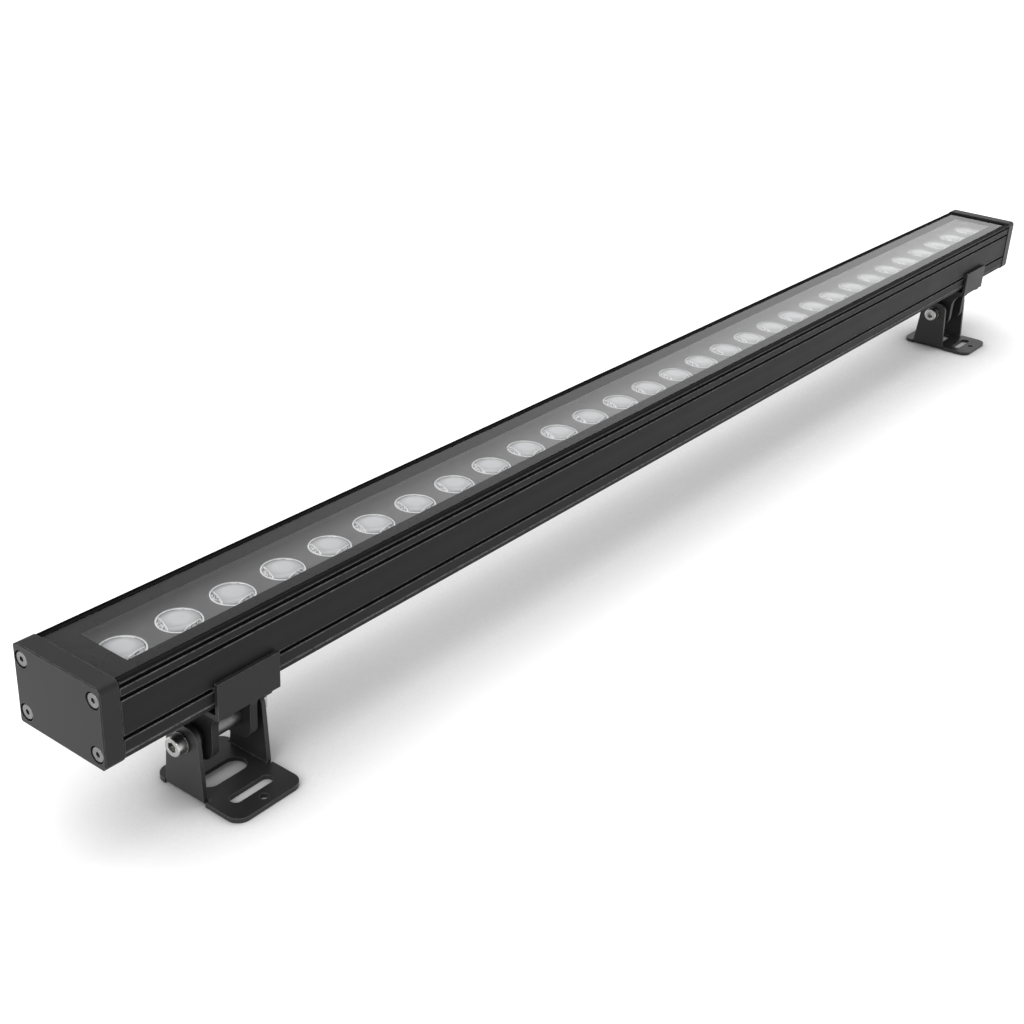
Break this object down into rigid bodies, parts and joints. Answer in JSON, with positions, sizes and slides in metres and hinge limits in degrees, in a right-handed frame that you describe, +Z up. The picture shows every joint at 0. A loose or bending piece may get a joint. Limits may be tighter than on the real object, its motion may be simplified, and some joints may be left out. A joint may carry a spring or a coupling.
{
  "type": "wall washer light",
  "caption": "Long linear wall washer light: dark extruded housing with a glass cover over a row of lenses, held by clips on tilting slotted feet.",
  "frame": {"origin": "middle between the front slots of the two feet, on the mounting face", "axes": "+X along the lamp towards the cable gland, +Y from the slotted front to the back, +Z up from the mounting face towards the glass"},
  "size_m": [1.0168, 0.0743, 0.0956],
  "materials": {
    "housing": "satin black coating",
    "cap": "matte black coating on a die casting",
    "rubber": "matte",
    "screw": "bright stainless steel",
    "glass": "clear, polished",
    "border": "fired black print",
    "seal": "satin silicone",
    "plate": "matte grey coating",
    "lens": "clear moulded acrylic",
    "board": "white solder mask",
    "led": "glossy",
    "wire": "satin insulation",
    "terminal": "satin",
    "driver": "plain sheet",
    "driver_part": "matte",
    "gland": "matte",
    "clip": "matte black coating on a die casting",
    "tube": "satin, turned",
    "foot": "matte black coating on bent sheet",
    "ring": "matte",
    "bolt": "bright stainless steel",
    "washer": "dark spring steel"
  },
  "bodies": {
    "lamp": {"housing": "housing", "end_cap_left": "cap", "end_cap_right": "cap", "cap_gasket_left": "rubber", "cap_gasket_right": "rubber", "cap_screws_left": "screw", "cap_screws_right": "screw", "glass_cover": "glass", "glass_border": "border", "glass_seal": "seal", "lens_plate": "plate", "lenses_left": "lens", "lenses_middle": "lens", "lenses_right": "lens", "led_board_left": "board", "led_board_middle": "board", "led_board_right": "board", "leds_left": "led", "leds_middle": "led", "leds_right": "led", "board_screws": "screw", "board_jumpers": "wire", "board_terminals": "terminal", "driver_case": "driver", "driver_board": "board", "driver_parts": "driver_part", "terminal_block": "terminal", "supply_wires": "wire", "output_wires": "wire", "web_grommet": "rubber", "gland_body": "gland", "gland_ring": "rubber", "gland_insert": "rubber", "gland_nut": "gland"},
    "left_clip": {"clip_left": "clip", "clip_pad_left": "rubber", "clamp_screws_left": "screw", "spacer_tube_left": "tube"},
    "right_clip": {"clip_right": "clip", "clip_pad_right": "rubber", "clamp_screws_right": "screw", "spacer_tube_right": "tube"},
    "left_foot": {"foot_left": "foot", "spacer_rings_left": "ring", "pivot_bolt_left": "bolt", "pivot_washer_left": "washer", "pivot_nut_left": "bolt"},
    "right_foot": {"foot_right": "foot", "spacer_rings_right": "ring", "pivot_bolt_right": "bolt", "pivot_washer_right": "washer", "pivot_nut_right": "bolt"}
  },
  "joints": [
    {"name": "left_clip_slide", "type": "slide", "parent": "lamp", "child": "left_clip", "axis": [1, 0, 0], "range_m": [-0.048, 0.38]},
    {"name": "right_clip_slide", "type": "slide", "parent": "lamp", "child": "right_clip", "axis": [1, 0, 0], "range_m": [-0.38, 0.048]},
    {"name": "left_foot_tilt", "type": "hinge", "parent": "left_clip", "child": "left_foot", "pos_m": [-0.421, 0.022, 0.03], "axis": [1, 0, 0], "range_deg": [-90, 80]},
    {"name": "right_foot_tilt", "type": "hinge", "parent": "right_clip", "child": "right_foot", "pos_m": [0.421, 0.022, 0.03], "axis": [1, 0, 0], "range_deg": [-90, 80]}
  ]
}
